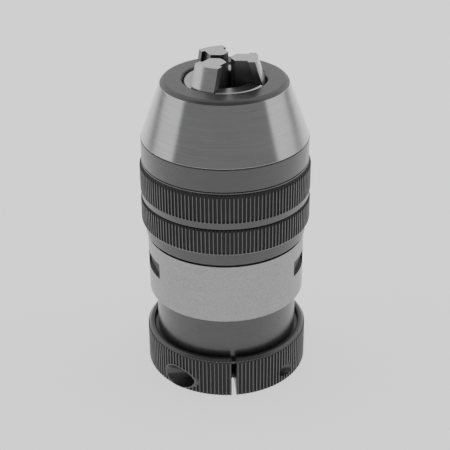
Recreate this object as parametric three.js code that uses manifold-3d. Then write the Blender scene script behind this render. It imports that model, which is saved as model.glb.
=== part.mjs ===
// A keyless drill chuck of the 10 mm class, with a tapered rear socket and a split clamp collar.
// The hood, its sleeve and the jaw guide turn on the body through a thrust ball bearing. The jaws turn with
// them and turn the spindle, whose left-hand thread moves it along the body and so slides the inclined jaws.
// Millimetres, +Z towards the nose, origin at the centre of the collar's rear face, front of the chuck at -Y.
import * as THREE from "three";
import { mergeVertices } from "three/addons/utils/BufferGeometryUtils.js";
import Module from "manifold-3d";

const wasm = await Module();
wasm.setup();

// Driving dimensions. A radius is measured from the chuck's axis, and a height along +Z from the rear face.
const LARGE_FACETS = 40;
const INNER_FACETS = 32;
const SMALL_FACETS = 12;
const FIT = 0.3; // clearance between neighbouring pieces
const CLOSE_FIT = 0.2; // clearance of the pieces that slide or roll on each other
const EDGE = 0.35; // ordinary edge chamfer
const BEYOND = 1; // how far a cutter runs past the face that it opens

const COLLAR_RADIUS = 21.1;
const COLLAR_HEIGHT = 11;
const COLLAR_BORE = 11;
const COLLAR_FLOOR = 7.5; // height of the recess floor that faces the body
const RECESS_RADIUS = 19.2;
const RIM_EDGE = 0.85; // chamfer round the collar's open end
const REAR_EDGE = 0.2; // chamfer round its rear face
const COLLAR_TURN = THREE.MathUtils.degToRad(5.1); // from the front to the slot
const COLLAR_SLOT = 1.2;

const SCREW_HEIGHT = 3.2;
const SCREW_OFFSET = 15.45; // from the chuck's axis to the screw's
const SCREW_RADIUS = 1.5;
const SCREW_LENGTH = 16; // under the head
const HEAD_RADIUS = 2.7;
const HEAD_HEIGHT = 3;
const HEAD_SEAT = 6.6; // from the slot's middle to the underside of the head
const HEX_ACROSS_FLATS = 2.5;
const HEX_DEPTH = 1.5;

const BODY_REAR = COLLAR_FLOOR + FIT;
const BODY_REAR_RADIUS = 18.3;
const BODY_STEP = 22.1;
const BODY_RADIUS = 20.07;
const BODY_SHOULDER = 38.1;
const REGISTER_RADIUS = 19.35; // the reduced front end, inside the sleeve's skirt
const BODY_FRONT = 40.6;
const SOCKET_MOUTH = 15.85 / 2; // number 33 short taper, large end
const SOCKET_END = 14.24 / 2; // small end
const SOCKET_LENGTH = 25.4;
const SOCKET_RELIEF = 1.1; // free height past the taper's small end
const POCKET_LOW = 29.35;
const POCKET_HIGH = 33.65;
const POCKET_WIDTH = 10;
const POCKET_FLOOR = 18.9; // from the axis to the pocket's flat floor
const POCKET_TURNS = [-71.4, 73.7, -144, 144]; // degrees from the front

const RING_LOW = 8.9; // the groove that holds the collar's snap ring
const RING_GROOVE = 1.1;
const RING_DEPTH = 0.8;
const RING_OPENING = 5; // between the snap ring's ends
const SEAL_LOW = 38.9;
const SEAL_GROOVE = 1.2;
const SEAL_DEPTH = 0.95;

const CUP_RADIUS = 15;
const CUP_BORE = 12.8;
const CUP_REAR = 36.2;
const CUP_FLANGE_LOW = 58.8;
const CUP_FLANGE_RADIUS = 18.4;
const CUP_FRONT = 61.2;

const SLEEVE_REAR = 38.7;
const SLEEVE_SKIRT_RADIUS = 20.45;
const SLEEVE_SKIRT_BORE = REGISTER_RADIUS + FIT;
const SLEEVE_FRONT = 48.85;
const SLEEVE_EDGE = 0.4;
const BAND_RADIUS = 21.5;
const REAR_BAND_LOW = 41.9;
const REAR_BAND_CREST = 42.6; // where the band reaches its full radius
const SPIGOT_RADIUS = 19.4;
const SPIGOT_FRONT = 53.1;

const BALL_COUNT = 12;
const BALL_RADIUS = 1.2;
const BALL_CIRCLE = 17;
const BALL_HEIGHT = 55.8;
const RACE_THICKNESS = 1.2;
const RACE_GAP = 0.1; // between a ball and each race
const CAGE_THICKNESS = 1;

const HOOD_REAR = 49.1;
const HOOD_LIP_RADIUS = 21.2;
const FRONT_BAND_LOW = 51.07;
const FRONT_BAND_HIGH = 57.5;
const LINE_HEIGHT = 58.8; // the fine groove above the front band
const LINE_DEPTH = 0.35;
const HOOD_RADIUS = 20.94;
const HOOD_CONE_LOW = 64.83;
const HOOD_CONE_HIGH = 78.65;
const HOOD_CONE_END = 15.78;
const NOSE = 79.5;
const NOSE_FACE_RADIUS = 14.8;
const NOSE_HOLE = 9.95;
const NOSE_CHAMFER = 0.7;
const HOOD_BORE = 18.9;
const HOOD_SHOULDER = 66.4;

const INCLINE = 0.3153; // tangent of the jaws' angle to the axis
const JAW_COUNT = 3;
const JAW_TURN = THREE.MathUtils.degToRad(-4.5); // of the first jaw, from +X
const JAW_TOP = 84.75;
const JAW_TIP = 1.6; // from the axis to the gripping land
const LAND_HALF = 0.5;
const TIP_HALF_ANGLE = Math.PI / 3;
const BLADE_HALF = 2.4;
const WEDGE_HALF = 3.25;
const WEDGE_INNER = 5.75; // from the axis to the wedge's shoulder, at the jaw's top
const WEDGE_ARC = 9.5; // radius of the wedge's round back
const WEDGE_BOTTOM = 72.4;
const GRIP_BOTTOM = 66;
const LEG_INNER = 3.6;
const LEG_OUTER = 8.8;
const HOOK_HALF = 3.1;
const HOOK_BOTTOM = 53.7;
const HOOK_TOP = 57.3;

const GUIDE_REAR = CUP_FRONT + 0.4;
const GUIDE_FLANGE_RADIUS = 18.6;
const GUIDE_BORE = 5.9;
const GUIDE_REAR_BORE = 13.2;
const GUIDE_FLOOR = 65.6;
const GUIDE_FRONT = 79.2;
const PIN_RADIUS = 1;
const PIN_CIRCLE = 16.4;
const PIN_LOW = 62.4;
const PIN_HIGH = 69.4;

const SPINDLE_RADIUS = 12.5;
const SPINDLE_REAR = 48;
const SPINDLE_FRONT = 60;

// The finishes.
const BLACK_OXIDE = { color: 0x3b3c3e, roughness: 0.5, metalness: 0.8 };
const GROUND_STEEL = { color: 0xb4b6b9, roughness: 0.28, metalness: 1 };
const BRIGHT_STEEL = { color: 0xcfd1d4, roughness: 0.18, metalness: 1 };
const SEAL_RUBBER = { color: 0x1c1c1d, roughness: 0.8, metalness: 0 };

// Radius of the hood's inner cone at a height.
const coneRadius = (z) => NOSE_HOLE + (NOSE - z) * INCLINE;
const degrees = THREE.MathUtils.degToRad;

// A geometry as a manifold solid.
function solid(geometry) {
  const bare = new THREE.BufferGeometry().setAttribute("position", geometry.getAttribute("position"));
  if (geometry.index) bare.setIndex(geometry.index);
  const merged = mergeVertices(bare, 1e-4);
  const vertProperties = merged.getAttribute("position").array;
  const triVerts = new Uint32Array(merged.index.array);
  return new wasm.Manifold(new wasm.Mesh({ numProp: 3, vertProperties, triVerts }));
}

// A manifold solid as a geometry.
function geometryOf(shape) {
  const mesh = shape.getMesh();
  return new THREE.BufferGeometry()
    .setAttribute("position", new THREE.BufferAttribute(mesh.vertProperties, mesh.numProp))
    .setIndex(new THREE.BufferAttribute(mesh.triVerts, 1));
}

const cut = (shape, ...tools) => tools.reduce((rest, tool) => rest.subtract(tool), shape);

// A solid of revolution about Z. Its outline is anticlockwise [radius, height] pairs; a ring's closes itself.
function turned(outline, facets = LARGE_FACETS) {
  const points = outline.map(([radius, height]) => new THREE.Vector2(radius, height));
  if (outline[0][0] > 0) points.push(points[0].clone());
  return solid(new THREE.LatheGeometry(points, facets).rotateX(Math.PI / 2));
}

const ring = (inner, outer, low, high, facets = INNER_FACETS) =>
  turned([[inner, low], [outer, low], [outer, high], [inner, high]], facets);

// A plan outline of [x, y] pairs raised from one height to another.
function raised(plan, low, high) {
  const shape = new THREE.Shape(plan.map(([x, y]) => new THREE.Vector2(x, y)));
  const options = { depth: high - low, bevelEnabled: false };
  return new THREE.ExtrudeGeometry(shape, options).translate(0, 0, low);
}

// A box from one corner to the opposite one.
function block([x0, y0, z0], [x1, y1, z1]) {
  const box = new THREE.BoxGeometry(x1 - x0, y1 - y0, z1 - z0);
  return solid(box.translate((x0 + x1) / 2, (y0 + y1) / 2, (z0 + z1) / 2));
}

// A round bar about Z at a place in the plan.
function bar(radius, low, high, x = 0, y = 0, facets = SMALL_FACETS) {
  const cylinder = new THREE.CylinderGeometry(radius, radius, high - low, facets).rotateX(Math.PI / 2);
  return solid(cylinder.translate(x, y, (low + high) / 2));
}

// A round bar about the clamp screw's axis, from one distance to another past the collar's slot.
function clampBar(radius, from, to, facets = SMALL_FACETS) {
  const cylinder = new THREE.CylinderGeometry(radius, radius, to - from, facets).rotateZ(Math.PI / 2);
  return solid(cylinder.translate((from + to) / 2, -SCREW_OFFSET, SCREW_HEIGHT));
}

const turnedAbout = (shape, angle) => shape.rotate([0, 0, THREE.MathUtils.radToDeg(angle)]);

const jawAngle = (index) => JAW_TURN + (index * 2 * Math.PI) / JAW_COUNT;

function rearBody() {
  const taperTop = BODY_REAR + SOCKET_LENGTH;
  const body = turned([
    [0, taperTop + SOCKET_RELIEF],
    [SOCKET_END - EDGE, taperTop + SOCKET_RELIEF],
    [SOCKET_END, taperTop],
    [SOCKET_MOUTH, BODY_REAR + EDGE],
    [SOCKET_MOUTH + EDGE, BODY_REAR],
    [BODY_REAR_RADIUS - EDGE, BODY_REAR],
    [BODY_REAR_RADIUS, BODY_REAR + EDGE],
    [BODY_REAR_RADIUS, RING_LOW],
    [BODY_REAR_RADIUS - RING_DEPTH, RING_LOW],
    [BODY_REAR_RADIUS - RING_DEPTH, RING_LOW + RING_GROOVE],
    [BODY_REAR_RADIUS, RING_LOW + RING_GROOVE],
    [BODY_REAR_RADIUS, BODY_STEP],
    [BODY_RADIUS - EDGE, BODY_STEP],
    [BODY_RADIUS, BODY_STEP + EDGE],
    [BODY_RADIUS, BODY_SHOULDER],
    [REGISTER_RADIUS, BODY_SHOULDER],
    [REGISTER_RADIUS, SEAL_LOW],
    [REGISTER_RADIUS - SEAL_DEPTH, SEAL_LOW],
    [REGISTER_RADIUS - SEAL_DEPTH, SEAL_LOW + SEAL_GROOVE],
    [REGISTER_RADIUS, SEAL_LOW + SEAL_GROOVE],
    [REGISTER_RADIUS, BODY_FRONT],
    [CUP_RADIUS + FIT, BODY_FRONT],
    [CUP_RADIUS + FIT, CUP_REAR - CLOSE_FIT],
    [0, CUP_REAR - CLOSE_FIT],
  ]);
  const half = POCKET_WIDTH / 2;
  const pocket = block([-half, -BODY_RADIUS - BEYOND, POCKET_LOW], [half, -POCKET_FLOOR, POCKET_HIGH]);
  return cut(body, ...POCKET_TURNS.map((turn) => turnedAbout(pocket, degrees(turn))));
}

function threadCup() {
  return turned([
    [CUP_BORE, CUP_REAR],
    [CUP_RADIUS, CUP_REAR],
    [CUP_RADIUS, CUP_FLANGE_LOW],
    [CUP_FLANGE_RADIUS, CUP_FLANGE_LOW],
    [CUP_FLANGE_RADIUS, CUP_FRONT],
    [CUP_BORE, CUP_FRONT],
  ]);
}

function dustSeal() {
  const inner = REGISTER_RADIUS - SEAL_DEPTH + CLOSE_FIT;
  const outer = SLEEVE_SKIRT_BORE - CLOSE_FIT;
  return ring(inner, outer, SEAL_LOW + CLOSE_FIT, SEAL_LOW + SEAL_GROOVE - CLOSE_FIT, LARGE_FACETS);
}

function collar() {
  const groove = RECESS_RADIUS + RING_DEPTH;
  const blank = turned([
    [COLLAR_BORE, EDGE],
    [COLLAR_BORE + EDGE, 0],
    [COLLAR_RADIUS - REAR_EDGE, 0],
    [COLLAR_RADIUS, REAR_EDGE],
    [COLLAR_RADIUS, COLLAR_HEIGHT - RIM_EDGE],
    [COLLAR_RADIUS - RIM_EDGE, COLLAR_HEIGHT],
    [RECESS_RADIUS + EDGE, COLLAR_HEIGHT],
    [RECESS_RADIUS, COLLAR_HEIGHT - EDGE],
    [RECESS_RADIUS, RING_LOW + RING_GROOVE],
    [groove, RING_LOW + RING_GROOVE],
    [groove, RING_LOW],
    [RECESS_RADIUS, RING_LOW],
    [RECESS_RADIUS, COLLAR_FLOOR],
    [COLLAR_BORE, COLLAR_FLOOR],
  ]);
  const outside = COLLAR_RADIUS + BEYOND;
  const slotLow = [-COLLAR_SLOT / 2, -outside, -BEYOND];
  const slotHigh = [COLLAR_SLOT / 2, -COLLAR_BORE + BEYOND, COLLAR_HEIGHT + BEYOND];
  const counterbore = clampBar(HEAD_RADIUS + FIT, -outside, -HEAD_SEAT + FIT);
  const screwHole = clampBar(SCREW_RADIUS + CLOSE_FIT, -HEAD_SEAT, outside);
  return cut(blank, block(slotLow, slotHigh), counterbore, screwHole);
}

function clampScrew() {
  const head = clampBar(HEAD_RADIUS, -HEAD_SEAT - HEAD_HEIGHT, -HEAD_SEAT);
  const shank = clampBar(SCREW_RADIUS, -HEAD_SEAT - BEYOND, SCREW_LENGTH - HEAD_SEAT);
  const hexRadius = HEX_ACROSS_FLATS / Math.sqrt(3);
  const hexFloor = -HEAD_SEAT - HEAD_HEIGHT + HEX_DEPTH;
  return cut(head.add(shank), clampBar(hexRadius, hexFloor - HEX_DEPTH - BEYOND, hexFloor, 6));
}

function snapRing() {
  const inner = BODY_REAR_RADIUS - RING_DEPTH + CLOSE_FIT;
  const outer = RECESS_RADIUS + RING_DEPTH - FIT;
  const band = ring(inner, outer, RING_LOW + CLOSE_FIT, RING_LOW + RING_GROOVE - CLOSE_FIT, LARGE_FACETS);
  const half = RING_OPENING / 2;
  return cut(band, block([-half, 0, 0], [half, COLLAR_RADIUS, COLLAR_HEIGHT]));
}

function sleeve() {
  return turned([
    [SLEEVE_SKIRT_BORE, SLEEVE_REAR],
    [SLEEVE_SKIRT_RADIUS - EDGE, SLEEVE_REAR],
    [SLEEVE_SKIRT_RADIUS, SLEEVE_REAR + EDGE],
    [SLEEVE_SKIRT_RADIUS, REAR_BAND_LOW],
    [BAND_RADIUS, REAR_BAND_CREST],
    [BAND_RADIUS, SLEEVE_FRONT - SLEEVE_EDGE],
    [BAND_RADIUS - SLEEVE_EDGE, SLEEVE_FRONT],
    [SPIGOT_RADIUS, SLEEVE_FRONT],
    [SPIGOT_RADIUS, SPIGOT_FRONT],
    [CUP_RADIUS + FIT, SPIGOT_FRONT],
    [CUP_RADIUS + FIT, BODY_FRONT + FIT],
    [SLEEVE_SKIRT_BORE, BODY_FRONT + FIT],
  ]);
}

const race = (low, high) => ring(CUP_RADIUS + FIT, HOOD_BORE - FIT, low, high);
const rearRace = () => race(SPIGOT_FRONT + CLOSE_FIT, BALL_HEIGHT - BALL_RADIUS - RACE_GAP);
const frontRace = () => race(BALL_HEIGHT + BALL_RADIUS + RACE_GAP, CUP_FLANGE_LOW - CLOSE_FIT);

const ballAngle = (index) => (index * 2 * Math.PI) / BALL_COUNT;

function ball(index) {
  const sphere = new THREE.SphereGeometry(BALL_RADIUS, 10, 6).rotateX(Math.PI / 2);
  const x = BALL_CIRCLE * Math.cos(ballAngle(index));
  const y = BALL_CIRCLE * Math.sin(ballAngle(index));
  return solid(sphere.translate(x, y, BALL_HEIGHT));
}

function ballCage() {
  const half = CAGE_THICKNESS / 2;
  const inner = CUP_RADIUS + FIT;
  const band = ring(inner, HOOD_BORE - FIT, BALL_HEIGHT - half, BALL_HEIGHT + half);
  const pockets = [];
  for (let index = 0; index < BALL_COUNT; index += 1) {
    const x = BALL_CIRCLE * Math.cos(ballAngle(index));
    const y = BALL_CIRCLE * Math.sin(ballAngle(index));
    pockets.push(bar(BALL_RADIUS + RACE_GAP, BALL_HEIGHT - BEYOND, BALL_HEIGHT + BEYOND, x, y));
  }
  return cut(band, ...pockets);
}

// The holes of the pins that lock the guide to the hood, midway between the jaws.
const pinAngle = (index) => jawAngle(index) + Math.PI / JAW_COUNT;

function pinBar(index, radius, low, high) {
  const angle = pinAngle(index);
  return bar(radius, low, high, PIN_CIRCLE * Math.cos(angle), PIN_CIRCLE * Math.sin(angle));
}

const pinHoles = (low, high) =>
  [...Array(JAW_COUNT).keys()].map((index) => pinBar(index, PIN_RADIUS + CLOSE_FIT, low, high));

function hood() {
  const blank = turned([
    [SPIGOT_RADIUS + FIT, HOOD_REAR],
    [HOOD_LIP_RADIUS, HOOD_REAR],
    [BAND_RADIUS, FRONT_BAND_LOW],
    [BAND_RADIUS, FRONT_BAND_HIGH],
    [HOOD_RADIUS, LINE_HEIGHT - LINE_DEPTH],
    [HOOD_RADIUS - LINE_DEPTH, LINE_HEIGHT],
    [HOOD_RADIUS, LINE_HEIGHT + LINE_DEPTH],
    [HOOD_RADIUS, HOOD_CONE_LOW],
    [HOOD_CONE_END, HOOD_CONE_HIGH],
    [NOSE_FACE_RADIUS, NOSE],
    [NOSE_HOLE + NOSE_CHAMFER, NOSE],
    [coneRadius(NOSE - NOSE_CHAMFER), NOSE - NOSE_CHAMFER],
    [coneRadius(HOOD_SHOULDER), HOOD_SHOULDER],
    [HOOD_BORE, HOOD_SHOULDER],
    [HOOD_BORE, SPIGOT_FRONT + CLOSE_FIT],
    [SPIGOT_RADIUS + FIT, SPIGOT_FRONT + CLOSE_FIT],
  ]);
  return cut(blank, ...pinHoles(HOOD_SHOULDER - BEYOND, PIN_HIGH + CLOSE_FIT));
}

// A jaw's wedge section, or with a clearance its slot's, from one height to another. It leans in as it rises.
function leaning(plan, low, high) {
  const lean = new THREE.Matrix4().makeShear(0, 0, 0, 0, -INCLINE, 0);
  return solid(raised(plan, low - JAW_TOP, high - JAW_TOP).applyMatrix4(lean).translate(0, 0, JAW_TOP));
}

const wedgeBack = () => coneRadius(JAW_TOP) - CLOSE_FIT;

// The wedge's plan: a flat shoulder, two flanks and a round back.
function wedgePlan() {
  const spread = Math.asin(WEDGE_HALF / WEDGE_ARC);
  const centre = wedgeBack() - WEDGE_ARC;
  const back = [-1, -0.5, 0, 0.5, 1].map((part) => [
    centre + WEDGE_ARC * Math.cos(part * spread),
    WEDGE_ARC * Math.sin(part * spread),
  ]);
  return [[WEDGE_INNER, -WEDGE_HALF], ...back, [WEDGE_INNER, WEDGE_HALF]];
}

function slotPlan() {
  const blade = BLADE_HALF + CLOSE_FIT;
  const wedge = WEDGE_HALF + CLOSE_FIT;
  const shoulder = WEDGE_INNER - CLOSE_FIT;
  const outside = wedgeBack() + FIT;
  const inside = shoulder - 2 * GUIDE_BORE;
  const half = [[inside, blade], [shoulder, blade], [shoulder, wedge], [outside, wedge]];
  const mirrored = half.map(([x, y]) => [x, -y]);
  return [...mirrored, ...half.reverse()];
}

function jawGuide() {
  const flangeTop = HOOD_SHOULDER - CLOSE_FIT;
  const blank = turned([
    [GUIDE_REAR_BORE, GUIDE_REAR],
    [GUIDE_FLANGE_RADIUS, GUIDE_REAR],
    [GUIDE_FLANGE_RADIUS, flangeTop],
    [coneRadius(flangeTop) - CLOSE_FIT, flangeTop],
    [coneRadius(GUIDE_FRONT - EDGE) - CLOSE_FIT, GUIDE_FRONT - EDGE],
    [coneRadius(GUIDE_FRONT) - EDGE, GUIDE_FRONT],
    [GUIDE_BORE + EDGE, GUIDE_FRONT],
    [GUIDE_BORE, GUIDE_FRONT - EDGE],
    [GUIDE_BORE, GUIDE_FLOOR],
    [GUIDE_REAR_BORE, GUIDE_FLOOR],
  ]);
  const slot = leaning(slotPlan(), GUIDE_REAR - BEYOND, GUIDE_FRONT + BEYOND);
  const slots = [...Array(JAW_COUNT).keys()].map((index) => turnedAbout(slot, jawAngle(index)));
  return cut(blank, ...slots, ...pinHoles(PIN_LOW - CLOSE_FIT, GUIDE_FLOOR + BEYOND));
}

function spindle() {
  const blank = bar(SPINDLE_RADIUS, SPINDLE_REAR, SPINDLE_FRONT, 0, 0, INNER_FACETS);
  const neck = BLADE_HALF + CLOSE_FIT;
  const hook = HOOK_HALF + FIT;
  const outside = SPINDLE_RADIUS + BEYOND;
  const slot = block([0, -neck, HOOK_TOP], [outside, neck, SPINDLE_FRONT + BEYOND]).add(
    block([0, -hook, HOOK_BOTTOM - FIT], [outside, hook, HOOK_TOP + FIT]),
  );
  const slots = [...Array(JAW_COUNT).keys()].map((index) => turnedAbout(slot, jawAngle(index)));
  return cut(blank, ...slots);
}

// One jaw in the plane y = 0, gripping towards -X.
function jaw() {
  const facet = (BLADE_HALF - LAND_HALF) / Math.tan(TIP_HALF_ANGLE);
  const back = wedgeBack() + INCLINE * (JAW_TOP - WEDGE_BOTTOM);
  const plan = raised([
    [JAW_TIP, -LAND_HALF],
    [JAW_TIP + facet, -BLADE_HALF],
    [back, -BLADE_HALF],
    [back, BLADE_HALF],
    [JAW_TIP + facet, BLADE_HALF],
    [JAW_TIP, LAND_HALF],
  ], HOOK_BOTTOM, JAW_TOP);
  const side = raised([
    [JAW_TIP, JAW_TOP],
    [JAW_TIP, GRIP_BOTTOM],
    [LEG_INNER, GRIP_BOTTOM],
    [LEG_INNER, HOOK_BOTTOM],
    [LEG_OUTER, HOOK_BOTTOM],
    [LEG_OUTER, WEDGE_BOTTOM],
    [back - CLOSE_FIT, WEDGE_BOTTOM],
    [wedgeBack() - CLOSE_FIT, JAW_TOP],
  ], -WEDGE_HALF, WEDGE_HALF).rotateX(Math.PI / 2);
  const blade = solid(plan).intersect(solid(side));
  const wedge = leaning(wedgePlan(), WEDGE_BOTTOM, JAW_TOP);
  const hook = block([LEG_INNER, -HOOK_HALF, HOOK_BOTTOM], [LEG_OUTER, HOOK_HALF, HOOK_TOP]);
  return blade.add(wedge).add(hook);
}

const chuck = new THREE.Group();
chuck.name = "drill_chuck";

function place(name, shape, finish, turn = 0) {
  const mesh = new THREE.Mesh(geometryOf(shape), new THREE.MeshStandardMaterial(finish));
  mesh.name = name;
  mesh.rotation.z = turn;
  chuck.add(mesh);
}

place("rear_body", rearBody(), GROUND_STEEL);
place("thread_cup", threadCup(), GROUND_STEEL);
place("dust_seal", dustSeal(), SEAL_RUBBER);
place("clamp_collar", collar(), BLACK_OXIDE, COLLAR_TURN);
place("clamp_screw", clampScrew(), BLACK_OXIDE, COLLAR_TURN);
place("collar_snap_ring", snapRing(), GROUND_STEEL);
place("sleeve", sleeve(), BLACK_OXIDE);
place("bearing_race_rear", rearRace(), BRIGHT_STEEL);
place("bearing_race_front", frontRace(), BRIGHT_STEEL);
place("ball_cage", ballCage(), GROUND_STEEL);
for (let index = 0; index < BALL_COUNT; index += 1) {
  place(`bearing_ball_${index + 1}`, ball(index), BRIGHT_STEEL);
}
place("hood", hood(), BLACK_OXIDE);
place("jaw_guide", jawGuide(), GROUND_STEEL);
place("spindle", spindle(), GROUND_STEEL);
for (let index = 0; index < JAW_COUNT; index += 1) {
  const pin = pinBar(index, PIN_RADIUS, PIN_LOW, PIN_HIGH);
  place(`guide_pin_${index + 1}`, pin, BRIGHT_STEEL);
  place(`jaw_${index + 1}`, jaw(), BRIGHT_STEEL, jawAngle(index));
}

export default chuck;
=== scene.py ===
"""A keyless drill chuck: fine turned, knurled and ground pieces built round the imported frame."""

import math

import bmesh
import bpy
from mathutils import Matrix, Vector


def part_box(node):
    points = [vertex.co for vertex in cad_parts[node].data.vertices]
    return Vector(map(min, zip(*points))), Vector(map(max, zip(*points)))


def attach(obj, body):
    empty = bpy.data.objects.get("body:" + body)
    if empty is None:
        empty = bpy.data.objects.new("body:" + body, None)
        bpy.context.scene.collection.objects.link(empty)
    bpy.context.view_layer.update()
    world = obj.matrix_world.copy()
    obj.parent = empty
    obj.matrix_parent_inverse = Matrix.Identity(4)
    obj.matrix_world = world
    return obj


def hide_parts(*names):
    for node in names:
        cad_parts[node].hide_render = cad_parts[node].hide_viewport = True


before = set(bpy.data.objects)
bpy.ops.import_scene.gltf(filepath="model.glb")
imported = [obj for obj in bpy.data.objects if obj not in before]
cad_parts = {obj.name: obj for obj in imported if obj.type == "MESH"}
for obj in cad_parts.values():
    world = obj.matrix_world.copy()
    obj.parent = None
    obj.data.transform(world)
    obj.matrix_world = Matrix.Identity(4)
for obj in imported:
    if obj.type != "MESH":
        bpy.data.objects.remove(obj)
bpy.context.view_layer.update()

# Pieces are modelled in millimetres and scaled into the frame's metres when they are finished.
MM = 0.001
ROUND = 192  # facets round a plain turned piece
SMALL_ROUND = 48
ON_AXIS = 1e-6  # a radius no larger than this counts as a point on the axis
KNURL_STEPS = 8  # columns of vertices to one knurl ridge
SHARP = math.radians(28)  # edges that turn more than this stay crisp
EASE = 0.12  # ordinary broken edge
LONG_FLAT = 1.2  # a flat longer than this keeps its own shading beside a broken edge

HOOD_KNURLS = 136
COLLAR_KNURLS = 132
KNURL_DEPTH = 0.36
KNURL_CUT = (0, 0, 0.85, 0.97, 1, 0.97, 0.85, 0)  # share of the depth at each column of a ridge
KNURL_STEP = 0.14  # spacing of the rows where the grooves run out through a chamfer
RUN_OUT = 0.3  # length over which a groove's closed end reaches its full depth
THREAD_PITCH = 3.0
THREAD_DEPTH = 0.9
JAW_COUNT = 3
JAW_TURN = -4.5  # degrees from +X to the first jaw
COLLAR_TURN = 5.1  # degrees from the front to the collar's slot
INCLINE = 0.3153  # tangent of the jaws' angle to the axis


def low(node):
    """A node's lowest corner, in millimetres."""
    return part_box(node)[0] / MM


def high(node):
    """A node's highest corner, in millimetres."""
    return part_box(node)[1] / MM


def radius_of(node):
    """A turned node's largest radius, in millimetres."""
    return high(node).x


# ---------------------------------------------------------------- materials

OXIDE_IOR = 1.65
# painted shade: the knurl's groove colour is darker than the smooth oxide, standing in for the shade between
# the ridges
OXIDE_GROOVE_SHADE = (0.018, 0.018, 0.0185)
OXIDE_CREST = (0.09, 0.09, 0.0915)


def node_material(name, metallic, rough):
    """An empty procedural material, with its node tree, its shader and its object coordinates."""
    material = bpy.data.materials.new(name)
    material.use_nodes = True
    tree = material.node_tree
    shader = tree.nodes["Principled BSDF"]
    shader.inputs["Metallic"].default_value = metallic
    shader.inputs["Roughness"].default_value = rough
    place = tree.nodes.new("ShaderNodeTexCoord")
    return material, tree, shader, place.outputs["Object"]


def math_node(tree, operation, first, second=None, third=None):
    node = tree.nodes.new("ShaderNodeMath")
    node.operation = operation
    for socket, value in zip(node.inputs, (first, second, third)):
        if value is None:
            continue
        if isinstance(value, bpy.types.NodeSocket):
            tree.links.new(value, socket)
        else:
            socket.default_value = value
    return node.outputs[0]


def distance_from_axis(tree, place):
    split = tree.nodes.new("ShaderNodeSeparateXYZ")
    tree.links.new(place, split.inputs[0])
    squares = [math_node(tree, "MULTIPLY", split.outputs[axis], split.outputs[axis]) for axis in (0, 1)]
    return math_node(tree, "SQRT", math_node(tree, "ADD", *squares))


def turned_coordinates(tree, place, round_scale, axial_scale):
    """Coordinates that run round the axis and along it, so that noise streaks like turning marks."""
    split = tree.nodes.new("ShaderNodeSeparateXYZ")
    tree.links.new(place, split.inputs[0])
    radius = distance_from_axis(tree, place)
    join = tree.nodes.new("ShaderNodeCombineXYZ")
    tree.links.new(math_node(tree, "MULTIPLY", split.outputs[0], round_scale), join.inputs[0])
    tree.links.new(math_node(tree, "MULTIPLY", split.outputs[1], round_scale), join.inputs[1])
    along = math_node(tree, "ADD", split.outputs[2], radius)
    tree.links.new(math_node(tree, "MULTIPLY", along, axial_scale), join.inputs[2])
    return join.outputs[0]


def noise(tree, vector, scale, detail=3.0, roughness=0.6):
    node = tree.nodes.new("ShaderNodeTexNoise")
    node.inputs["Scale"].default_value = scale
    node.inputs["Detail"].default_value = detail
    node.inputs["Roughness"].default_value = roughness
    tree.links.new(vector, node.inputs["Vector"])
    return node.outputs["Fac"]


def spread(tree, value, to_low, to_high, from_low=0.3, from_high=0.7):
    """Maps a noise value onto a working range."""
    node = tree.nodes.new("ShaderNodeMapRange")
    node.inputs["From Min"].default_value = from_low
    node.inputs["From Max"].default_value = from_high
    node.inputs["To Min"].default_value = to_low
    node.inputs["To Max"].default_value = to_high
    tree.links.new(value, node.inputs["Value"])
    return node.outputs["Result"]


def blend_colours(tree, factor, first, second):
    node = tree.nodes.new("ShaderNodeMix")
    node.data_type = "RGBA"
    node.inputs["A"].default_value = (*first, 1)
    node.inputs["B"].default_value = (*second, 1)
    tree.links.new(factor, node.inputs["Factor"])
    return node.outputs["Result"]


def bump(tree, shader, height, strength, distance):
    node = tree.nodes.new("ShaderNodeBump")
    node.inputs["Strength"].default_value = strength
    node.inputs["Distance"].default_value = distance
    tree.links.new(height, node.inputs["Height"])
    tree.links.new(node.outputs["Normal"], shader.inputs["Normal"])


def above(tree, place, radius, softness=0.05):
    """Rises from 0 to 1 where a point's distance from the axis passes a radius, in millimetres."""
    reach = distance_from_axis(tree, place)
    return spread(tree, reach, 0.0, 1.0, (radius - softness) * MM, (radius + softness) * MM)


def ground_steel(name, dark, light, rough, streak=0.5, grain=0.25, anisotropic=0.0, relief=0.25):
    """Ground steel: fine marks round the axis, a faint cloudiness and a varying polish."""
    material, tree, shader, place = node_material(name, 1.0, rough)
    streaks = noise(tree, turned_coordinates(tree, place, 60.0, 5200.0), 1.0, 4.0)
    clouds = noise(tree, place, 160.0, 4.0)
    pits = noise(tree, place, 2600.0, 2.0)
    cloudy = math_node(tree, "MULTIPLY_ADD", pits, grain, math_node(tree, "MULTIPLY", clouds, 1.0 - grain))
    cloud_share = math_node(tree, "MULTIPLY", cloudy, 1.0 - streak)
    tone = math_node(tree, "MULTIPLY_ADD", streaks, streak, cloud_share)
    colour = blend_colours(tree, spread(tree, tone, 0.0, 1.0), dark, light)
    tree.links.new(colour, shader.inputs["Base Color"])
    tree.links.new(spread(tree, clouds, rough * 0.9, rough * 1.15), shader.inputs["Roughness"])
    marks = math_node(tree, "MULTIPLY_ADD", pits, grain, math_node(tree, "MULTIPLY", streaks, 1.0 - grain))
    bump(tree, shader, marks, relief, 0.00002)
    if anisotropic:
        shader.inputs["Anisotropic"].default_value = anisotropic
        shader.inputs["Anisotropic Rotation"].default_value = 0.25
        tangent = tree.nodes.new("ShaderNodeTangent")
        tangent.direction_type = "RADIAL"
        tangent.axis = "Z"
        tree.links.new(tangent.outputs[0], shader.inputs["Tangent"])
    return material


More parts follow.
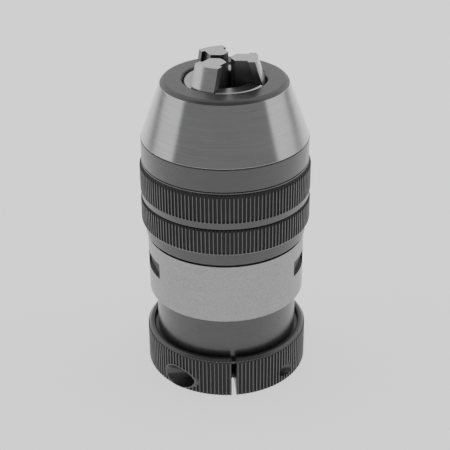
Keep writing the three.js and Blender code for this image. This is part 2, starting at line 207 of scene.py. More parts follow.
def black_oxide(name, dark, light, rough, streak=0.5):
    """Oil-black oxide on turned steel: near black, slightly mottled, with faint marks round the axis."""
    material, tree, shader, place = node_material(name, 0.0, rough)
    shader.inputs["IOR"].default_value = OXIDE_IOR
    streaks = noise(tree, turned_coordinates(tree, place, 60.0, 3600.0), 1.0, 4.0)
    clouds = noise(tree, place, 220.0, 2.0)
    cloud_share = math_node(tree, "MULTIPLY", clouds, 1.0 - streak)
    tone = math_node(tree, "MULTIPLY_ADD", streaks, streak, cloud_share)
    colour = blend_colours(tree, spread(tree, tone, 0.0, 1.0), dark, light)
    tree.links.new(colour, shader.inputs["Base Color"])
    tree.links.new(spread(tree, clouds, rough * 0.9, rough * 1.2), shader.inputs["Roughness"])
    bump(tree, shader, streaks, 0.3, 0.00002)
    return material


def knurled_oxide(name, crest_radius):
    """Black oxide on a knurl: crests that handling has polished, and grooves darkened with painted shade."""
    material, tree, shader, place = node_material(name, 0.0, 0.35)
    shader.inputs["IOR"].default_value = OXIDE_IOR
    clouds = noise(tree, place, 260.0, 5.0, 0.65)
    specks = noise(tree, place, 3000.0, 2.0)
    crest = above(tree, place, crest_radius - 0.08, 0.06)
    # dark in the grooves and lighter on the crests: the dark grooves are painted shade, the lighter crests
    # are wear from handling
    crest_wear_and_groove_shade = math_node(tree, "MULTIPLY", crest, spread(tree, clouds, 0.6, 1.0))
    tree.links.new(blend_colours(tree, crest_wear_and_groove_shade, OXIDE_GROOVE_SHADE, OXIDE_CREST), shader.inputs["Base Color"])
    tree.links.new(spread(tree, crest_wear_and_groove_shade, 0.6, 0.3, 0.0, 1.0), shader.inputs["Roughness"])
    tree.links.new(spread(tree, crest, 0.5, 0.0, 0.0, 1.0), shader.inputs["Metallic"])
    bump(tree, shader, specks, 0.3, 0.00002)
    return material


def matt_rubber(name):
    material, tree, shader, place = node_material(name, 0.0, 0.75)
    grain = noise(tree, place, 1800.0, 3.0)
    colour = blend_colours(tree, spread(tree, grain, 0.0, 1.0), (0.012, 0.012, 0.012), (0.03, 0.03, 0.03))
    tree.links.new(colour, shader.inputs["Base Color"])
    bump(tree, shader, grain, 0.4, 0.00003)
    return material


CONE_STEEL = ground_steel("cone_steel", (0.42, 0.42, 0.43), (0.5, 0.5, 0.51), 0.16, 0.8, 0.3, 0.5, 0.06)
BODY_STEEL = ground_steel("body_steel", (0.22, 0.22, 0.223), (0.37, 0.37, 0.375), 0.4, 0.2, 0.7, 0.0, 0.4)
TURNED_STEEL = ground_steel("turned_steel", (0.36, 0.36, 0.37), (0.5, 0.5, 0.51), 0.3, 0.6)
JAW_STEEL = ground_steel("jaw_steel", (0.5, 0.5, 0.51), (0.6, 0.6, 0.61), 0.18, 0.4, 0.4, 0.0, 0.1)
BEARING_STEEL = ground_steel("bearing_steel", (0.6, 0.6, 0.61), (0.7, 0.7, 0.71), 0.1, 0.3)
CAGE_STEEL = ground_steel("cage_steel", (0.3, 0.3, 0.31), (0.4, 0.4, 0.41), 0.38, 0.3)
BAND_OXIDE = knurled_oxide("band_oxide", 21.5)
COLLAR_OXIDE = knurled_oxide("collar_oxide", 21.1)
SMOOTH_OXIDE = black_oxide("smooth_oxide", (0.032, 0.032, 0.0325), (0.052, 0.052, 0.053), 0.28)
ROUGH_OXIDE = black_oxide("rough_oxide", (0.06, 0.06, 0.061), (0.11, 0.11, 0.112), 0.8, 0.2)
# a lighter oxide for the land above the hood's band and the sleeve's shoulder below its band: painted
# highlight where those bevels catch the light
PAINTED_HIGHLIGHT_OXIDE = black_oxide("painted_highlight_oxide", (0.09, 0.09, 0.091), (0.15, 0.15, 0.152), 0.26)
SEAL_RUBBER = matt_rubber("seal_rubber")


# ---------------------------------------------------------------- mesh building

def eased(outline, ease=EASE):
    """A closed outline with each corner broken by a small round.

    A point beyond each round keeps a long flat's shading flat.
    """
    out = []
    for index, corner in enumerate(outline):
        here = Vector(corner[:2])
        to_before = Vector(outline[index - 1][:2]) - here
        to_after = Vector(outline[(index + 1) % len(outline)][:2]) - here
        if here.x <= 0:
            out.append(tuple(here))
            continue
        reach = min(ease, 0.35 * to_before.length, 0.35 * to_after.length)
        start = here + to_before.normalized() * reach
        end = here + to_after.normalized() * reach
        points = [start, (start + end + 2 * here) / 4, end]
        if to_before.length > LONG_FLAT:
            points.insert(0, here + to_before.normalized() * 2 * reach)
        if to_after.length > LONG_FLAT:
            points.append(here + to_after.normalized() * 2 * reach)
        out.extend(tuple(point) for point in points)
    return out


class Band:
    """A straight-knurled stretch: grooves cut below its crests, closed and rounded at the lower end."""

    def __init__(self, bottom, top, radius, count):
        self.bottom, self.top, self.radius, self.count = bottom, top, radius, count

    def radius_at(self, radius, height, column):
        if not self.bottom <= height <= self.top or radius < self.radius - 2 * KNURL_DEPTH:
            return radius
        phase = column % KNURL_STEPS
        late = RUN_OUT / 3 * ((phase - KNURL_STEPS / 2) / 2) ** 2
        share = math.sqrt(min(1.0, max(0.0, (height - self.bottom - late) / RUN_OUT)))
        return min(radius, self.radius - KNURL_DEPTH * KNURL_CUT[phase] * share)

    def rows(self):
        """Heights that need a row of vertices, where the grooves run out."""
        low = [self.bottom + RUN_OUT * part / 6 for part in range(9)]
        high = [self.top - KNURL_STEP * part for part in range(8)]
        return low + high


def with_rows(outline, band):
    """The outline with a point at each of a band's rows, on its outside."""
    out = []
    for index, point in enumerate(outline):
        out.append(point)
        following = outline[(index + 1) % len(outline)]
        if min(point[0], following[0]) < band.radius - 1.5:
            continue
        low, high = sorted((point[1], following[1]))
        heights = [height for height in band.rows() if low + 0.01 < height < high - 0.01]
        for height in sorted(heights, reverse=following[1] < point[1]):
            share = (height - point[1]) / (following[1] - point[1])
            out.append((point[0] + (following[0] - point[0]) * share, height))
    return out


def lathe(outline, facets=ROUND, band=None):
    """A turned solid's bmesh. Rows that touch the axis become single points."""
    mesh = bmesh.new()
    rows = []
    for radius, height in outline:
        if radius <= ON_AXIS:
            rows.append([mesh.verts.new((0, 0, height))])
            continue
        row = []
        for column in range(facets):
            angle = 2 * math.pi * column / facets
            r = band.radius_at(radius, height, column) if band else radius
            row.append(mesh.verts.new((r * math.cos(angle), r * math.sin(angle), height)))
        rows.append(row)
    closes = outline[0][0] > ON_AXIS
    pairs = list(zip(rows, rows[1:])) + ([(rows[-1], rows[0])] if closes else [])
    for row, following in pairs:
        for column in range(facets):
            after = (column + 1) % facets
            corners = [row[column % len(row)], row[after % len(row)]]
            corners += [following[after % len(following)], following[column % len(following)]]
            unique = list(dict.fromkeys(corners))
            if len(unique) > 2:
                mesh.faces.new(unique)
    bmesh.ops.recalc_face_normals(mesh, faces=mesh.faces)
    return mesh


def piece(name, mesh, *materials):
    """An object made from a bmesh in millimetres."""
    data = bpy.data.meshes.new(name)
    mesh.to_mesh(data)
    mesh.free()
    for material in materials:
        data.materials.append(material)
    made = bpy.data.objects.new(name, data)
    bpy.context.scene.collection.objects.link(made)
    return made


def apply_modifiers(made):
    bpy.context.view_layer.update()
    graph = bpy.context.evaluated_depsgraph_get()
    data = bpy.data.meshes.new_from_object(made.evaluated_get(graph))
    made.modifiers.clear()
    made.data = data


def combine(made, others, operation):
    """Cuts, joins or intersects a piece with others, which are used up."""
    for other in others:
        modifier = made.modifiers.new("combine", "BOOLEAN")
        modifier.operation = operation
        modifier.object = other
        modifier.solver = "EXACT"
    apply_modifiers(made)
    for other in others:
        bpy.data.objects.remove(other)
    return made


def carve(made, cutters):
    return combine(made, cutters, "DIFFERENCE")


def bevel(made, width, segments=2):
    modifier = made.modifiers.new("edges", "BEVEL")
    modifier.width = width
    modifier.segments = segments
    modifier.limit_method = "ANGLE"
    modifier.angle_limit = SHARP
    apply_modifiers(made)
    return made


def complete(made, body, slot, *nodes):
    """Scales a finished piece into the frame, shades it, and hangs it on its body in place of its nodes."""
    data = made.data
    data.transform(Matrix.Scale(MM, 4))
    data.shade_smooth()
    data.set_sharp_from_angle(angle=SHARP)
    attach(made, body)
    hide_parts(*nodes)
    return made


def box_cutter(corner, opposite):
    mesh = bmesh.new()
    bmesh.ops.create_cube(mesh, size=1)
    size = Vector(opposite) - Vector(corner)
    middle = (Vector(opposite) + Vector(corner)) / 2
    place = Matrix.Translation(middle) @ Matrix.Diagonal((*size, 1))
    bmesh.ops.transform(mesh, matrix=place, verts=mesh.verts)
    return piece("cutter", mesh)


def rod(radius, start, end, facets=SMALL_ROUND):
    """A plain round rod between two points."""
    start, end = Vector(start), Vector(end)
    mesh = bmesh.new()
    bmesh.ops.create_cone(
        mesh, cap_ends=True, segments=facets, radius1=radius, radius2=radius, depth=(end - start).length)
    turn = (end - start).to_track_quat("Z", "Y").to_matrix().to_4x4()
    bmesh.ops.transform(mesh, matrix=Matrix.Translation((start + end) / 2) @ turn, verts=mesh.verts)
    return piece("rod", mesh)


def prism(plan, bottom, top, lean=0.0):
    """A plan outline, drawn at the height of the jaws' top, raised between two heights.

    A lean moves it towards -X as it rises.
    """
    mesh = bmesh.new()
    ends = []
    for height in (bottom, top):
        shift = lean * (JAW_TOP - height)
        ends.append([mesh.verts.new((x + shift, y, height)) for x, y in plan])
    lower, upper = ends
    mesh.faces.new(lower[::-1])
    mesh.faces.new(upper)
    for index in range(len(plan)):
        after = (index + 1) % len(plan)
        mesh.faces.new([lower[index], lower[after], upper[after], upper[index]])
    bmesh.ops.recalc_face_normals(mesh, faces=mesh.faces)
    return piece("prism", mesh)


def turned_about(made, degrees):
    """Turns a finished or half-finished piece about the chuck's axis."""
    made.data.transform(Matrix.Rotation(math.radians(degrees), 4, "Z"))
    return made


def paint(made, chosen, index):
    """Gives the polygons whose centre passes a test a material slot."""
    for polygon in made.data.polygons:
        if chosen(polygon.center):
            polygon.material_index = index


def distance(point):
    return math.hypot(point.x, point.y)


# ---------------------------------------------------------------- dimensions that several pieces share

NOSE = high("hood").z
HOOD_REAR = low("hood").z
BAND_RADIUS = radius_of("hood")
BODY_RADIUS = radius_of("rear_body")
BODY_REAR = low("rear_body").z
BODY_FRONT = high("rear_body").z
COLLAR_RADIUS = 21.1
COLLAR_HEIGHT = high("clamp_collar").z
CUP_RADIUS = 15.0
JAW_TOP = high("jaw_1").z
GUIDE_TOP = high("jaw_guide").z
NOSE_HOLE = 9.95
SPIGOT_RADIUS = 19.4
REGISTER_RADIUS = 19.35
SEAL_GROOVE_RADIUS = 18.4
CLEARANCE = 0.3
SLIDING = 0.2


def cone_radius(height):
    """Radius of the hood's inner cone."""
    return NOSE_HOLE + (NOSE - height) * INCLINE


def jaw_turns():
    return [JAW_TURN + 360 * index / JAW_COUNT for index in range(JAW_COUNT)]


# ---------------------------------------------------------------- hood and sleeve

def make_hood():
    line, cone_low, cone_high = 58.8, 64.83, 78.65
    bore, shoulder, counterbore = 18.9, 66.4, low("bearing_race_rear").z
    band_low, band_high = 50.9, 58.4
    outline = [
        (SPIGOT_RADIUS + CLEARANCE, HOOD_REAR),
        (21.2, HOOD_REAR),
        (21.46, band_low),
        (BAND_RADIUS, 51.07),
        (BAND_RADIUS, 57.4),
        (21.25, 58.1),
        (20.94, band_high),
        (20.94, line - 0.13),
        (20.59, line - 0.08),
        (20.59, line + 0.08),
        (20.94, line + 0.13),
        (20.94, cone_low - 0.16),
        (20.65, cone_low - 0.1),
        (20.65, cone_low + 0.04),
        (20.84, cone_low + 0.06),
        (15.78, cone_high),
        (15.3, 79.2),
        (14.7, NOSE),
        (NOSE_HOLE + 0.7, NOSE),
        (cone_radius(NOSE - 0.7), NOSE - 0.7),
        (cone_radius(shoulder), shoulder),
        (bore, shoulder),
        (bore, counterbore),
        (SPIGOT_RADIUS + CLEARANCE, counterbore),
    ]
    band = Band(band_low, band_high, BAND_RADIUS, HOOD_KNURLS)
    mesh = lathe(with_rows(eased(outline), band), HOOD_KNURLS * KNURL_STEPS, band)
    made = piece("hood_turned", mesh, SMOOTH_OXIDE, CONE_STEEL, BAND_OXIDE, PAINTED_HIGHLIGHT_OXIDE)
    paint(made, lambda p: distance(p) > 15.6 and cone_low + 0.06 < p.z < cone_high + 0.02, 1)
    paint(made, lambda p: distance(p) > 20.9 and band_low < p.z < band_high, 2)
    # painted highlight: the land between the band and the line is coloured lighter
    paint(made, lambda p: distance(p) > 20.9 and band_high < p.z < line - 0.08, 3)
    return complete(made, "hood", "black_oxide", "hood")


def make_sleeve():
    rear, front = low("sleeve").z, 48.85
    skirt, skirt_bore, shoulder_low, band_low = 20.45, 19.65, 41.8, 42.4
    inner = CUP_RADIUS + CLEARANCE
    shoulder = BODY_FRONT + CLEARANCE
    outline = [
        (skirt_bore, rear),
        (skirt - 0.3, rear),
        (skirt, rear + 0.3),
        (skirt, shoulder_low),
        (21.2, shoulder_low + 0.35),
        (BAND_RADIUS, band_low + 0.3),
        (BAND_RADIUS, front - 0.4),
        (21.1, front),
        (SPIGOT_RADIUS, front),
        (SPIGOT_RADIUS, high("sleeve").z),
        (inner, high("sleeve").z),
        (inner, shoulder),
        (skirt_bore, shoulder),
    ]
    band = Band(band_low, front, BAND_RADIUS, HOOD_KNURLS)
    mesh = lathe(with_rows(eased(outline), band), HOOD_KNURLS * KNURL_STEPS, band)
    made = piece("sleeve_turned", mesh, SMOOTH_OXIDE, BAND_OXIDE, PAINTED_HIGHLIGHT_OXIDE)
    paint(made, lambda p: distance(p) > 20.9 and band_low < p.z < front - 0.02, 1)
    # painted highlight: the shoulder below the band is coloured lighter
    paint(made, lambda p: distance(p) > 21.0 and shoulder_low < p.z < band_low, 2)
    return complete(made, "hood", "black_oxide", "sleeve")


# ---------------------------------------------------------------- body

def make_rear_body():
    rear_radius, step, shoulder = 18.3, 22.1, 38.1
    groove, ring_low, seal_low = 17.5, 8.9, 38.9
    mouth, small, taper_top = 15.85 / 2, 14.24 / 2, BODY_REAR + 25.4
    cup_floor = low("thread_cup").z - SLIDING
    outline = [
        (0, taper_top + 1.1),
        (small - 0.5, taper_top + 1.1),
        (small, taper_top),
        (mouth, BODY_REAR + 0.4),
        (mouth + 0.4, BODY_REAR),
        (rear_radius - 0.35, BODY_REAR),
        (rear_radius, BODY_REAR + 0.35),
        (rear_radius, ring_low),
        (groove, ring_low),
        (groove, ring_low + 1.1),
        (rear_radius, ring_low + 1.1),
        (rear_radius, step),
        (BODY_RADIUS - 0.25, step),
        (BODY_RADIUS, step + 0.25),
        (BODY_RADIUS, shoulder),
        (REGISTER_RADIUS, shoulder),
        (REGISTER_RADIUS, seal_low),
        (SEAL_GROOVE_RADIUS, seal_low),
        (SEAL_GROOVE_RADIUS, seal_low + 1.2),
        (REGISTER_RADIUS, seal_low + 1.2),
        (REGISTER_RADIUS, BODY_FRONT),
        (CUP_RADIUS + CLEARANCE, BODY_FRONT),
        (CUP_RADIUS + CLEARANCE, cup_floor),
        (0, cup_floor),
    ]
    made = piece("rear_body_ground", lathe(eased(outline)), BODY_STEEL, SMOOTH_OXIDE, ROUGH_OXIDE)
    paint(made, lambda p: p.z < step + 0.02 and distance(p) > mouth + 0.2, 1)
    half, floor = 5.0, 18.9
    pockets = []
    for turn in (-71.4, 73.7, -144.0, 144.0):
        cutter = box_cutter((-half, -BODY_RADIUS - 1, 29.35), (half, -floor, 33.65))
        pockets.append(turned_about(cutter, turn))
    carve(made, pockets)
    paint(made, lambda p: 29.3 < p.z < 33.7 and 18.0 < distance(p) < BODY_RADIUS - 0.02, 2)
    return complete(made, "rear", "ground_steel", "rear_body")


def make_thread_cup():
    rear, front = low("thread_cup").z, high("thread_cup").z
    outer, flange_low = CUP_RADIUS, 58.8
    bore = 12.8
    outline = [(outer, rear), (outer, flange_low), (radius_of("thread_cup"), flange_low),
               (radius_of("thread_cup"), front)]
    made = piece("thread_cup_turned", lathe(
        eased([(bore, rear)] + outline + [(bore, front)])), TURNED_STEEL)
    thread = threaded_rod(bore + THREAD_DEPTH, bore - 0.02, rear - THREAD_PITCH, front + THREAD_PITCH)
    return complete(carve(made, [thread]), "rear", "ground_steel", "thread_cup")


def threaded_rod(crest, root, bottom, top):
    """A rod with a left-hand thread of trapezoid section, as a solid."""
    facets, steps = 96, 8  # round the rod, and along one pitch
    flank = 5  # how steeply the thread rises, in its depths per pitch
    rows = int((top - bottom) / THREAD_PITCH * steps)
    mesh = bmesh.new()
    grid = []
    for index in range(rows + 1):
        height = bottom + (top - bottom) * index / rows
        row = []
        for column in range(facets):
            angle = 2 * math.pi * column / facets
            phase = (height / THREAD_PITCH + angle / (2 * math.pi)) % 1.0
            share = min(1.0, max(0.0, 1.5 - abs(phase - 0.5) * flank))
            radius = root + (crest - root) * share
            row.append(mesh.verts.new((radius * math.cos(angle), radius * math.sin(angle), height)))
        grid.append(row)
    for row, following in zip(grid, grid[1:]):
        for column in range(facets):
            after = (column + 1) % facets
            mesh.faces.new([row[column], row[after], following[after], following[column]])
    mesh.faces.new(grid[0][::-1])
    mesh.faces.new(grid[-1])
    return piece("threaded_rod", mesh, TURNED_STEEL)


# ---------------------------------------------------------------- collar and clamp screw

SCREW_HEIGHT = 3.2
SCREW_OFFSET = 15.45
SCREW_RADIUS = 1.5
HEAD_RADIUS = 2.7
HEAD_HEIGHT = 3.0
HEAD_SEAT = 6.6


def on_screw_axis(distance_along, across=0.0, up=0.0):
    """A point beside the clamp screw's axis, before the collar is turned into place."""
    return (distance_along, -SCREW_OFFSET + across, SCREW_HEIGHT + up)


def make_collar():
    bore, recess, floor, groove, ring_low = 11.0, 19.2, 7.5, 20.0, 8.9
    chamfer, slot_half, crest_top = 0.85, 0.6, 9.0
    crest = COLLAR_RADIUS - 0.04
    outline = [
        (bore, 0.4),
        (bore + 0.4, 0),
        (COLLAR_RADIUS - 0.2, 0),
        (COLLAR_RADIUS, 0.2),
        (COLLAR_RADIUS, COLLAR_HEIGHT - chamfer),
        (COLLAR_RADIUS - chamfer, COLLAR_HEIGHT),
        (recess + 0.25, COLLAR_HEIGHT),
        (recess, COLLAR_HEIGHT - 0.25),
        (recess, ring_low + 1.1),
        (groove, ring_low + 1.1),
        (groove, ring_low),
        (recess, ring_low),
        (recess, floor),
        (bore, floor),
    ]
    band = Band(-RUN_OUT, COLLAR_HEIGHT - 0.3, COLLAR_RADIUS, COLLAR_KNURLS)
    mesh = lathe(with_rows(eased(outline), band), COLLAR_KNURLS * KNURL_STEPS, band)
    made = piece("clamp_collar_knurled", mesh, SMOOTH_OXIDE, COLLAR_OXIDE)
    paint(made, lambda p: distance(p) > 20.5 and 0.02 < p.z < COLLAR_HEIGHT - chamfer, 1)
    outside = COLLAR_RADIUS + 1
    counterbore = HEAD_RADIUS + CLEARANCE
    rim = rod(counterbore + 0.3, on_screw_axis(-outside), on_screw_axis(-HEAD_SEAT))
    rim.data.materials.append(SMOOTH_OXIDE)
    crest_ring = [(BODY_RADIUS, 0.1), (crest, 0.1), (crest, crest_top), (BODY_RADIUS, crest_top)]
    crests = piece("crests", lathe(crest_ring), SMOOTH_OXIDE)
    combine(rim, [crests], "INTERSECT")
    combine(made, [rim], "UNION")
    slot = box_cutter((-slot_half, -outside, -1), (slot_half, -bore + 1, COLLAR_HEIGHT + 1))
    mouth = rod(counterbore, on_screw_axis(-outside), on_screw_axis(-HEAD_SEAT + CLEARANCE))
    screw_hole = rod(SCREW_RADIUS + SLIDING, on_screw_axis(-HEAD_SEAT), on_screw_axis(outside))
    carve(made, [slot, mouth, screw_hole])
    turned_about(made, COLLAR_TURN)
    return complete(made, "collar", "black_oxide", "clamp_collar")


def make_clamp_screw():
    """A socket-head screw: a plain head with a hexagon socket, on a threaded shank."""
    length, pitch, facets = 16.0, 0.5, 24
    across_flats, socket_depth = 2.5, 1.5
    head = piece("clamp_screw_fine", lathe(eased([
        (0, 0), (HEAD_RADIUS - 0.25, 0), (HEAD_RADIUS, 0.25), (HEAD_RADIUS, HEAD_HEIGHT), (0, HEAD_HEIGHT),
    ], 0.06), SMALL_ROUND), SMOOTH_OXIDE)
    shank_rows = int(length / pitch * 4)
    outline = [(0, HEAD_HEIGHT - 0.2)]
    for index in range(shank_rows + 1):
        root = 0.0 if index % 4 < 2 else 0.25
        outline.append((SCREW_RADIUS - root, HEAD_HEIGHT - 0.2 + index * pitch / 4))
    outline += [(SCREW_RADIUS - 0.4, HEAD_HEIGHT + length), (0, HEAD_HEIGHT + length)]
    shank = piece("shank", lathe(outline, facets), SMOOTH_OXIDE)
    combine(head, [shank], "UNION")
    carve(head, [rod(across_flats / math.sqrt(3), (0, 0, -1), (0, 0, socket_depth), 6)])
    along_x = Matrix.Rotation(math.pi / 2, 4, "Y")
    head.data.transform(Matrix.Translation((-HEAD_SEAT - HEAD_HEIGHT, -SCREW_OFFSET, SCREW_HEIGHT)) @ along_x)
    turned_about(head, COLLAR_TURN)
    return complete(head, "clamp_screw", "black_oxide", "clamp_screw")


# ---------------------------------------------------------------- jaws, guide and spindle

BLADE_HALF = 2.4
WEDGE_HALF = 3.25
WEDGE_INNER = 5.75
WEDGE_ARC = 9.5
WEDGE_BACK = cone_radius(JAW_TOP) - SLIDING
WEDGE_BOTTOM = 72.4
JAW_TIP = 1.6
LEG_INNER, LEG_OUTER = 3.6, 8.8
HOOK_HALF = 3.1
HOOK_BOTTOM, HOOK_TOP = 53.7, 57.3
PIN_CIRCLE, PIN_RADIUS = 16.4, 1.0


def wedge_back(parts=10):
    """The wedge's round back, in plan at the jaw's top."""
    spread_angle = math.asin(WEDGE_HALF / WEDGE_ARC)
    centre = WEDGE_BACK - WEDGE_ARC
    angles = [spread_angle * (2 * part / parts - 1) for part in range(parts + 1)]
    return [(centre + WEDGE_ARC * math.cos(a), WEDGE_ARC * math.sin(a)) for a in angles]


def make_jaw(index, turn):
    land, grip_bottom = 0.5, 66.0
    inset = 0.6  # keeps the blade's own back inside the wedge's round one
    facet = JAW_TIP + (BLADE_HALF - land) / math.tan(math.pi / 3)
    back = WEDGE_BACK + INCLINE * (JAW_TOP - WEDGE_BOTTOM)
    plan = [(JAW_TIP, -land), (facet, -BLADE_HALF), (back, -BLADE_HALF)]
    blade = prism(plan + [(x, -y) for x, y in reversed(plan)], HOOK_BOTTOM, JAW_TOP)
    side = [
        (JAW_TIP - 1, JAW_TOP + 1),
        (JAW_TIP - 1, grip_bottom),
        (LEG_INNER, grip_bottom),
        (LEG_INNER, HOOK_BOTTOM - 1),
        (LEG_OUTER, HOOK_BOTTOM - 1),
        (LEG_OUTER, WEDGE_BOTTOM),
        (back - inset, WEDGE_BOTTOM),
        (WEDGE_BACK - inset - INCLINE, JAW_TOP + 1),
    ]
    profile = prism(side, -5, 5)
    profile.data.transform(Matrix.Rotation(math.pi / 2, 4, "X"))
    combine(blade, [profile], "INTERSECT")
    wedge = prism([(WEDGE_INNER, -WEDGE_HALF)] + wedge_back() + [(WEDGE_INNER, WEDGE_HALF)],
                  WEDGE_BOTTOM, JAW_TOP, INCLINE)
    hook = box_cutter((LEG_INNER, -HOOK_HALF, HOOK_BOTTOM), (LEG_OUTER, HOOK_HALF, HOOK_TOP))
    combine(blade, [wedge, hook], "UNION")
    bevel(blade, 0.05, 1)
    blade.name = f"jaw_{index}_ground"
    blade.data.materials.clear()
    blade.data.materials.append(JAW_STEEL)
    # the second slot, the dark oxide, is painted shade on the flanks and tip facets, which fall in shade;
    # faces turned up or outward keep the ground steel
    blade.data.materials.append(SMOOTH_OXIDE)
    for polygon in blade.data.polygons:
        outside_painted_shade = max(polygon.normal.x, polygon.normal.z) > 0.5
        polygon.material_index = 0 if outside_painted_shade else 1
    turned_about(blade, turn)
    return complete(blade, f"jaw_{index}", "bright_steel", f"jaw_{index}")


def slot_plan():
    blade, wedge = BLADE_HALF + SLIDING, WEDGE_HALF + SLIDING
    shoulder, outside = WEDGE_INNER - SLIDING, WEDGE_BACK + 0.5
    half = [(shoulder - 12, blade), (shoulder, blade), (shoulder, wedge), (outside, wedge)]
    return [(x, -y) for x, y in half] + half[::-1]


def make_guide():
    bore, rear_bore, floor = 5.9, 13.2, 65.6
    rear, flange_top = low("jaw_guide").z, 66.4 - SLIDING
    outline = [
        (rear_bore, rear),
        (18.6, rear),
        (18.6, flange_top),
        (cone_radius(flange_top) - SLIDING, flange_top),
        (cone_radius(GUIDE_TOP - 0.3) - SLIDING, GUIDE_TOP - 0.3),
        (cone_radius(GUIDE_TOP) - 0.5, GUIDE_TOP),
        (bore + 0.3, GUIDE_TOP),
        (bore, GUIDE_TOP - 0.3),
        (bore, floor),
        (rear_bore, floor),
    ]
    made = piece("jaw_guide_ground", lathe(eased(outline)), TURNED_STEEL)
    slots = [turned_about(prism(slot_plan(), rear - 1, GUIDE_TOP + 1, INCLINE), turn) for turn in jaw_turns()]
    carve(made, slots)
    hole_bottom = 62.2
    holes = [pin_rod(index, PIN_RADIUS + SLIDING, hole_bottom, floor + 1) for index in range(JAW_COUNT)]
    carve(made, holes)
    return complete(made, "hood", "ground_steel", "jaw_guide")


def pin_rod(index, radius, bottom, top):
    angle = math.radians(jaw_turns()[index] + 60)
    x, y = PIN_CIRCLE * math.cos(angle), PIN_CIRCLE * math.sin(angle)
    return rod(radius, (x, y, bottom), (x, y, top), SMALL_ROUND)


def make_pin(index):
    node = f"guide_pin_{index + 1}"
    made = pin_rod(index, PIN_RADIUS, low(node).z, high(node).z)
    bevel(made, 0.15)
    made.name = node + "_fine"
    made.data.materials.append(BEARING_STEEL)
    return complete(made, "hood", "bright_steel", node)


def make_spindle():
    bottom, top, radius = low("spindle").z, high("spindle").z, radius_of("spindle")
    made = threaded_rod(radius, radius - THREAD_DEPTH, bottom - THREAD_PITCH, top + THREAD_PITCH)
    ends = rod(radius + 1, (0, 0, bottom), (0, 0, top), ROUND)
    combine(made, [ends], "INTERSECT")
    neck, hook = BLADE_HALF + SLIDING, HOOK_HALF + CLEARANCE
    for turn in jaw_turns():
        upper = box_cutter((0, -neck, HOOK_TOP), (radius + 1, neck, top + 1))
        lower = box_cutter((0, -hook, HOOK_BOTTOM - CLEARANCE), (radius + 1, hook, HOOK_TOP + CLEARANCE))
        carve(made, [turned_about(upper, turn), turned_about(lower, turn)])
    made.name = "spindle_threaded"
    return complete(made, "spindle", "ground_steel", "spindle")


# ---------------------------------------------------------------- bearing, seal and snap ring

BALL_RADIUS, BALL_CIRCLE, BALL_HEIGHT, BALL_COUNT = 1.2, 17.0, 55.8, 12


def make_race(node, body):
    """A flat ring with the balls' groove in the face that they roll on."""
    bottom, top = low(node).z, high(node).z
    inner, outer = CUP_RADIUS + CLEARANCE, radius_of(node)
    groove = [BALL_CIRCLE + BALL_RADIUS * 0.5 * part for part in (-1, -0.5, 0, 0.5, 1)]
    depth = [0.0, 0.16, 0.22, 0.16, 0.0]
    if bottom < BALL_HEIGHT:
        outline = [(inner, bottom), (outer, bottom), (outer, top)]
        outline += [(r, top - d) for r, d in zip(groove[::-1], depth)] + [(inner, top)]
    else:
        outline = [(inner, bottom)] + [(r, bottom + d) for r, d in zip(groove, depth)]
        outline += [(outer, bottom), (outer, top), (inner, top)]
    made = piece(node + "_fine", lathe(eased(outline, 0.08)), BEARING_STEEL)
    return complete(made, body, "bright_steel", node)


def ball_place(index):
    angle = 2 * math.pi * index / BALL_COUNT
    return Vector((BALL_CIRCLE * math.cos(angle), BALL_CIRCLE * math.sin(angle), BALL_HEIGHT))


def make_ball(index):
    node = f"bearing_ball_{index + 1}"
    mesh = bmesh.new()
    bmesh.ops.create_uvsphere(mesh, u_segments=32, v_segments=16, radius=BALL_RADIUS)
    bmesh.ops.translate(mesh, vec=ball_place(index), verts=mesh.verts)
    made = piece(node + "_fine", mesh, BEARING_STEEL)
    return complete(made, "bearing_cage", "bright_steel", node)


def make_cage():
    node = "ball_cage"
    inner, outer = CUP_RADIUS + CLEARANCE, radius_of(node)
    bottom, top = low(node).z, high(node).z
    made = piece("ball_cage_fine", lathe(
        eased([(inner, bottom), (outer, bottom), (outer, top), (inner, top)], 0.06)), CAGE_STEEL)
    holes = []
    for index in range(BALL_COUNT):
        place = ball_place(index)
        holes.append(rod(BALL_RADIUS + 0.1, place - Vector((0, 0, 1)), place + Vector((0, 0, 1))))
    carve(made, holes)
    return complete(made, "bearing_cage", "ground_steel", node)


def make_seal():
    node = "dust_seal"
    bottom, top, outer = low(node).z, high(node).z, radius_of(node)
    inner = SEAL_GROOVE_RADIUS + SLIDING
    made = piece("dust_seal_fine", lathe(
        eased([(inner, bottom), (outer, bottom), (outer, top), (inner, top)], 0.3)), SEAL_RUBBER)
    return complete(made, "rear", "seal_rubber", node)


def make_snap_ring():
    node = "collar_snap_ring"
    bottom, top, inner, outer = low(node).z, high(node).z, 17.7, 19.7
    gap_half = 2.5
    made = piece("collar_snap_ring_fine", lathe(
        eased([(inner, bottom), (outer, bottom), (outer, top), (inner, top)], 0.08)), SMOOTH_OXIDE)
    carve(made, [box_cutter((-gap_half, 0, 0), (gap_half, COLLAR_RADIUS, COLLAR_HEIGHT))])
    return complete(made, "rear", "ground_steel", node)


# ---------------------------------------------------------------- stage

FRONT_GLOW, SIDE_GLOW, BACK_GLOW, CEILING_GLOW = 0.3, 1.2, 0.9, 0.7
SIDE_EDGE = (70, 76)  # degrees from the front where the side screens start
BACK_EDGE = (140, 155)
CEILING_EDGE = (62, 78)  # degrees of elevation where the ceiling starts
FLOOR_GLOW = 0.95
FOOT_RADIUS = 12.0  # the table doesn't glow under the middle of the chuck, in millimetres
FLOOR_FADE = (0.35, 0.9)  # metres from the chuck
FAR_FLOOR = 0.2
BELOW = 0.00005  # the table stays clear of the collar's rear face
CAMERA_PLACE = (0, -0.253065, 0.177364)
CAMERA_PITCH, CAMERA_YAW, CAMERA_ROLL = 28.6852, -0.0398, -0.463  # degrees: down, to the right, tilted
CAMERA_LENS = 89.19


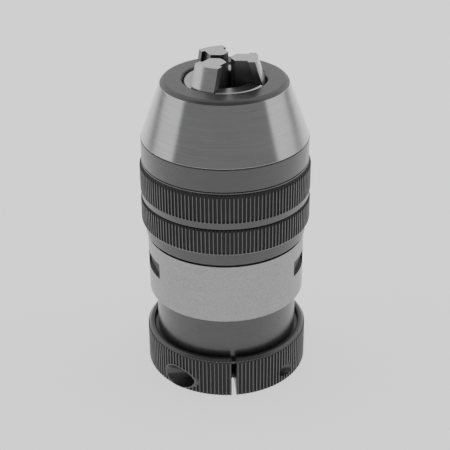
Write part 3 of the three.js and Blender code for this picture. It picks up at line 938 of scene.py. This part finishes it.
def make_floor():
    """A large pale table, softly lit from within, that falls into shade far from the chuck."""
    material, tree, shader, place = node_material("pale_floor", 0.0, 0.9)
    mottle = noise(tree, place, 3.0)
    nearness = spread(tree, distance_from_axis(tree, place), 1.0, FAR_FLOOR, *FLOOR_FADE)
    pale = blend_colours(tree, spread(tree, mottle, 0.0, 1.0), (0.53, 0.53, 0.53), (0.57, 0.57, 0.57))
    faded = tree.nodes.new("ShaderNodeVectorMath")
    faded.operation = "SCALE"
    tree.links.new(pale, faded.inputs[0])
    tree.links.new(nearness, faded.inputs["Scale"])
    tree.links.new(faded.outputs[0], shader.inputs["Base Color"])
    shader.inputs["Emission Color"].default_value = (1, 1, 1, 1)
    outside = above(tree, place, FOOT_RADIUS)
    glow = math_node(tree, "MULTIPLY", math_node(tree, "MULTIPLY", nearness, outside), FLOOR_GLOW)
    tree.links.new(glow, shader.inputs["Emission Strength"])
    mesh = bmesh.new()
    bmesh.ops.create_grid(mesh, x_segments=1, y_segments=1, size=4)
    floor = piece("floor", mesh, material)
    floor.location.z = -BELOW


def direction(tree):
    """The world shader's azimuth from the front, in degrees to either side, and its elevation."""
    place = tree.nodes.new("ShaderNodeTexCoord")
    split = tree.nodes.new("ShaderNodeSeparateXYZ")
    tree.links.new(place.outputs["Generated"], split.inputs[0])
    towards_front = math_node(tree, "MULTIPLY", split.outputs[1], -1.0)
    azimuth = math_node(tree, "ABSOLUTE", math_node(tree, "ARCTAN2", split.outputs[0], towards_front))
    elevation = math_node(tree, "ARCSINE", split.outputs[2])
    return [math_node(tree, "MULTIPLY", angle, math.degrees(1)) for angle in (azimuth, elevation)]


def make_lights():
    """A tent of white screens: bright sides, a softer back and ceiling, and a dim front."""
    world = bpy.data.worlds.new("studio")
    bpy.context.scene.world = world
    world.use_nodes = True
    tree = world.node_tree
    azimuth, elevation = direction(tree)
    side = spread(tree, azimuth, FRONT_GLOW, SIDE_GLOW, *SIDE_EDGE)
    walls = math_node(tree, "ADD", side, spread(tree, azimuth, 0.0, BACK_GLOW - SIDE_GLOW, *BACK_EDGE))
    ceiling = spread(tree, elevation, 0.0, 1.0, *CEILING_EDGE)
    rest = math_node(tree, "MULTIPLY", walls, math_node(tree, "SUBTRACT", 1.0, ceiling))
    glow = math_node(tree, "MULTIPLY_ADD", ceiling, CEILING_GLOW, rest)
    tree.links.new(glow, tree.nodes["Background"].inputs["Strength"])
    tree.nodes["Background"].inputs["Color"].default_value = (1, 1, 1, 1)


def make_camera():
    """The camera stands in front of the chuck, above its nose, and looks down at it."""
    data = bpy.data.cameras.new("camera")
    data.sensor_width = 36
    data.lens = CAMERA_LENS
    camera = bpy.data.objects.new("camera", data)
    yaw = Matrix.Rotation(math.radians(-CAMERA_YAW), 4, "Z")
    pitch = Matrix.Rotation(math.radians(90 - CAMERA_PITCH), 4, "X")
    roll = Matrix.Rotation(math.radians(CAMERA_ROLL), 4, "Z")
    camera.matrix_world = Matrix.Translation(CAMERA_PLACE) @ yaw @ pitch @ roll
    bpy.context.scene.collection.objects.link(camera)
    bpy.context.scene.camera = camera


make_camera()
make_floor()
make_lights()
make_hood()
make_sleeve()
make_rear_body()
make_thread_cup()
make_collar()
make_clamp_screw()
for number, jaw_turn in enumerate(jaw_turns(), 1):
    make_jaw(number, jaw_turn)
make_guide()
for pin in range(JAW_COUNT):
    make_pin(pin)
make_spindle()
make_race("bearing_race_rear", "hood")
make_race("bearing_race_front", "rear")
for ball in range(BALL_COUNT):
    make_ball(ball)
make_cage()
make_seal()
make_snap_ring()
